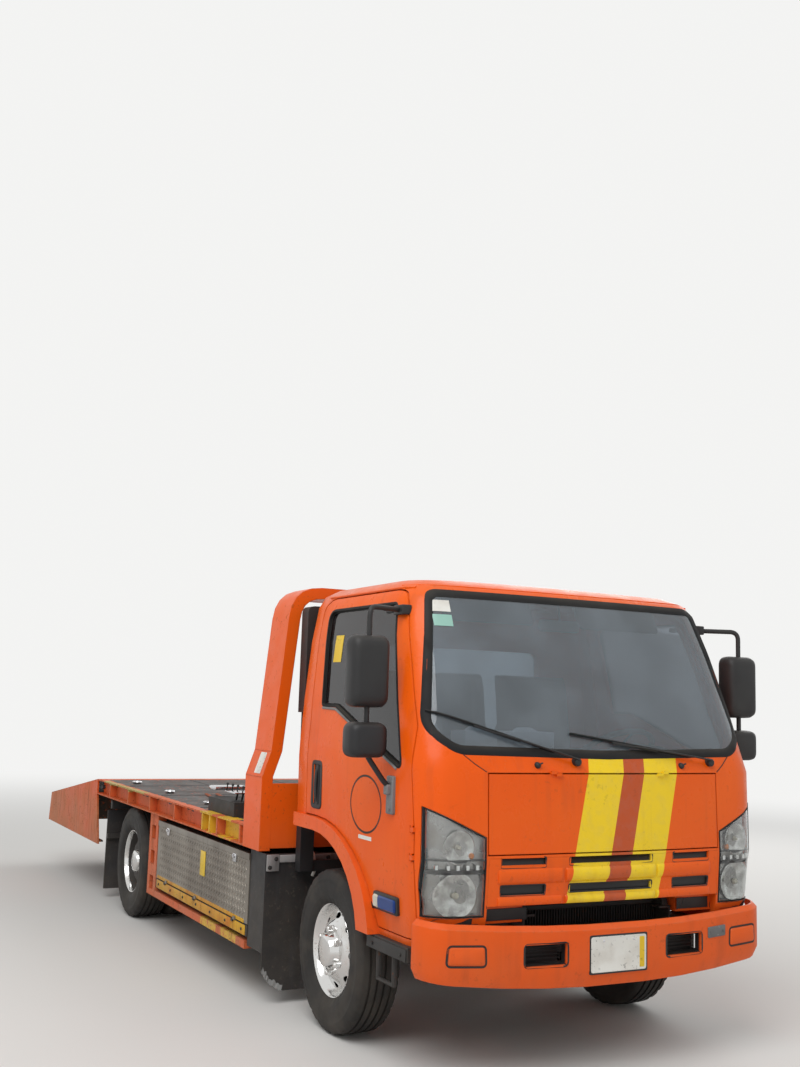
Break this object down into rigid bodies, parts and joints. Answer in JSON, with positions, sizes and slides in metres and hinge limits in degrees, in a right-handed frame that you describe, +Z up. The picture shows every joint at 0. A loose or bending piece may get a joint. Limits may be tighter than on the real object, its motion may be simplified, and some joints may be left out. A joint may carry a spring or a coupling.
{
  "type": "flatbed tow truck",
  "caption": "Small cab-over tow truck with a tilting and sliding flatbed, beaver tail, headboard hoop and deck winch.",
  "frame": {"origin": "on the ground under the middle of the truck's bounding box", "axes": "+X to the truck's left side, +Y to its rear, +Z up"},
  "size_m": [2.47, 7.4, 2.27],
  "materials": {
    "orange_paint": "worn gloss orange cab paint with faded yellow stripes",
    "bed_paint": "scuffed orange bed paint, rust at the edges",
    "black_steel": "dull black chassis paint under road dirt",
    "deck_steel": "dark worn deck steel",
    "wheel_chrome": "polished wheel covers, dulled by dust",
    "rod_chrome": "ground and chromed rods",
    "tread_plate": "bright patterned plate, smoky and dented",
    "tank_steel": "aluminised steel",
    "cast_iron": "dark, with surface rust",
    "engine_metal": "grey casting",
    "black_plastic": "grained black",
    "tyre_rubber": "worn, dusty side walls",
    "screen_glass": "lightly tinted",
    "lamp_glass": "clear lens",
    "seat_cloth": "woven, dark red",
    "cab_trim": "grey grained"
  },
  "bodies": {
    "chassis": {"ladder_frame": "black_steel", "engine": "engine_metal", "driveline": "engine_metal", "front_axle": "cast_iron", "rear_axle": "cast_iron", "bumper": "orange_paint", "fuel_tank": "tank_steel", "exhaust": "tank_steel", "air_intake": "black_plastic", "side_box_right": "tread_plate", "side_box_left": "tread_plate", "side_frame_right": "bed_paint", "side_frame_left": "bed_paint", "front_guard_right": "black_plastic", "front_guard_left": "black_plastic", "rear_mudflaps": "black_plastic"},
    "cab": {"cab_shell": "orange_paint", "windscreen": "screen_glass", "rear_window": "screen_glass", "grille": "orange_paint", "headlamp_right": "lamp_glass", "headlamp_left": "lamp_glass", "dashboard": "cab_trim", "seats": "seat_cloth", "step_right": "black_plastic", "step_left": "black_plastic"},
    "steering_wheel": {"steering_wheel": "black_plastic"},
    "front_lid": {"front_lid": "orange_paint"},
    "door_right": {"door_right": "orange_paint", "door_glass_right": "screen_glass", "mirrors_right": "black_plastic"},
    "door_left": {"door_left": "orange_paint", "door_glass_left": "screen_glass", "mirrors_left": "black_plastic"},
    "box_lid_right": {"box_lid_right": "tread_plate"},
    "box_lid_left": {"box_lid_left": "tread_plate"},
    "tilt_frame": {"tilt_frame": "black_steel", "slide_cylinder": "black_steel"},
    "deck": {"deck": "deck_steel", "beaver_tail": "bed_paint", "headboard": "bed_paint", "winch": "black_steel", "valve_box": "black_steel", "slide_rod": "rod_chrome"},
    "winch_drum": {"winch_drum": "deck_steel"},
    "tilt_barrels": {"tilt_barrels": "black_steel"},
    "tilt_rods": {"tilt_rods": "rod_chrome"},
    "knuckle_right": {"knuckle_right": "cast_iron"},
    "knuckle_left": {"knuckle_left": "cast_iron"},
    "front_wheel_right": {"front_tyre_right": "tyre_rubber", "front_rim_right": "wheel_chrome"},
    "front_wheel_left": {"front_tyre_left": "tyre_rubber", "front_rim_left": "wheel_chrome"},
    "rear_wheels_right": {"rear_tyre_outer_right": "tyre_rubber", "rear_tyre_inner_right": "tyre_rubber", "rear_rims_right": "wheel_chrome"},
    "rear_wheels_left": {"rear_tyre_outer_left": "tyre_rubber", "rear_tyre_inner_left": "tyre_rubber", "rear_rims_left": "wheel_chrome"}
  },
  "joints": [
    {"name": "cab_tilt", "type": "hinge", "parent": "chassis", "child": "cab", "pos_m": [0, -3.49, 0.75], "axis": [1, 0, 0], "range_deg": [0, 45]},
    {"name": "steering_wheel_turn", "type": "hinge", "parent": "cab", "child": "steering_wheel", "pos_m": [0.44, -3.08, 1.4], "axis": [0, 0.5736, 0.8192], "range_deg": [-540, 540]},
    {"name": "front_lid_open", "type": "hinge", "parent": "cab", "child": "front_lid", "pos_m": [0, -3.637, 1.332], "axis": [-1, 0, 0], "range_deg": [0, 50]},
    {"name": "door_right_open", "type": "hinge", "parent": "cab", "child": "door_right", "pos_m": [-0.965, -3.476, 1], "axis": [0, 0, 1], "range_deg": [0, 68]},
    {"name": "door_left_open", "type": "hinge", "parent": "cab", "child": "door_left", "pos_m": [0.965, -3.476, 1], "axis": [0, 0, -1], "range_deg": [0, 68]},
    {"name": "box_lid_right_open", "type": "hinge", "parent": "chassis", "child": "box_lid_right", "pos_m": [-1.076, -1.59, 0.378], "axis": [0, -1, 0], "range_deg": [0, 90]},
    {"name": "box_lid_left_open", "type": "hinge", "parent": "chassis", "child": "box_lid_left", "pos_m": [1.076, -1.59, 0.378], "axis": [0, 1, 0], "range_deg": [0, 90]},
    {"name": "bed_tilt", "type": "hinge", "parent": "chassis", "child": "tilt_frame", "pos_m": [0, 1.71, 0.715], "axis": [-1, 0, 0], "range_deg": [0, 5.3]},
    {"name": "bed_slide", "type": "slide", "parent": "tilt_frame", "child": "deck", "axis": [0, 1, 0], "range_m": [0, 2.4]},
    {"name": "winch_drum_turn", "type": "hinge", "parent": "deck", "child": "winch_drum", "pos_m": [0, -1.44, 1.06], "axis": [1, 0, 0], "continuous": true},
    {"name": "tilt_barrels_swing", "type": "hinge", "parent": "chassis", "child": "tilt_barrels", "pos_m": [0, -0.59, 0.36], "axis": [-1, 0, 0], "range_deg": [0, 16.82]},
    {"name": "tilt_rods_stroke", "type": "slide", "parent": "tilt_barrels", "child": "tilt_rods", "axis": [0, -0.8506, 0.5258], "range_m": [0, 0.1658]},
    {"name": "steer_right", "type": "hinge", "parent": "chassis", "child": "knuckle_right", "pos_m": [-0.69, -2.59, 0.395], "axis": [0, 0, 1], "range_deg": [-36, 36]},
    {"name": "steer_left", "type": "hinge", "parent": "chassis", "child": "knuckle_left", "pos_m": [0.69, -2.59, 0.395], "axis": [0, 0, 1], "range_deg": [-36, 36]},
    {"name": "front_wheel_right_spin", "type": "hinge", "parent": "knuckle_right", "child": "front_wheel_right", "pos_m": [-0.84, -2.59, 0.395], "axis": [1, 0, 0], "continuous": true},
    {"name": "front_wheel_left_spin", "type": "hinge", "parent": "knuckle_left", "child": "front_wheel_left", "pos_m": [0.84, -2.59, 0.395], "axis": [1, 0, 0], "continuous": true},
    {"name": "rear_wheels_right_spin", "type": "hinge", "parent": "chassis", "child": "rear_wheels_right", "pos_m": [-0.833, 0.775, 0.395], "axis": [1, 0, 0], "continuous": true},
    {"name": "rear_wheels_left_spin", "type": "hinge", "parent": "chassis", "child": "rear_wheels_left", "pos_m": [0.833, 0.775, 0.395], "axis": [1, 0, 0], "continuous": true}
  ],
  "couplings": [
    {"joint": "tilt_barrels_swing", "follows": "bed_tilt", "ratio": 3.111},
    {"joint": "tilt_rods_stroke", "follows": "bed_tilt", "m_per_rad": 1.7572},
    {"joint": "steer_right", "follows": "steer_left", "ratio": 1},
    {"joint": "steering_wheel_turn", "follows": "steer_left", "ratio": 14.9}
  ]
}
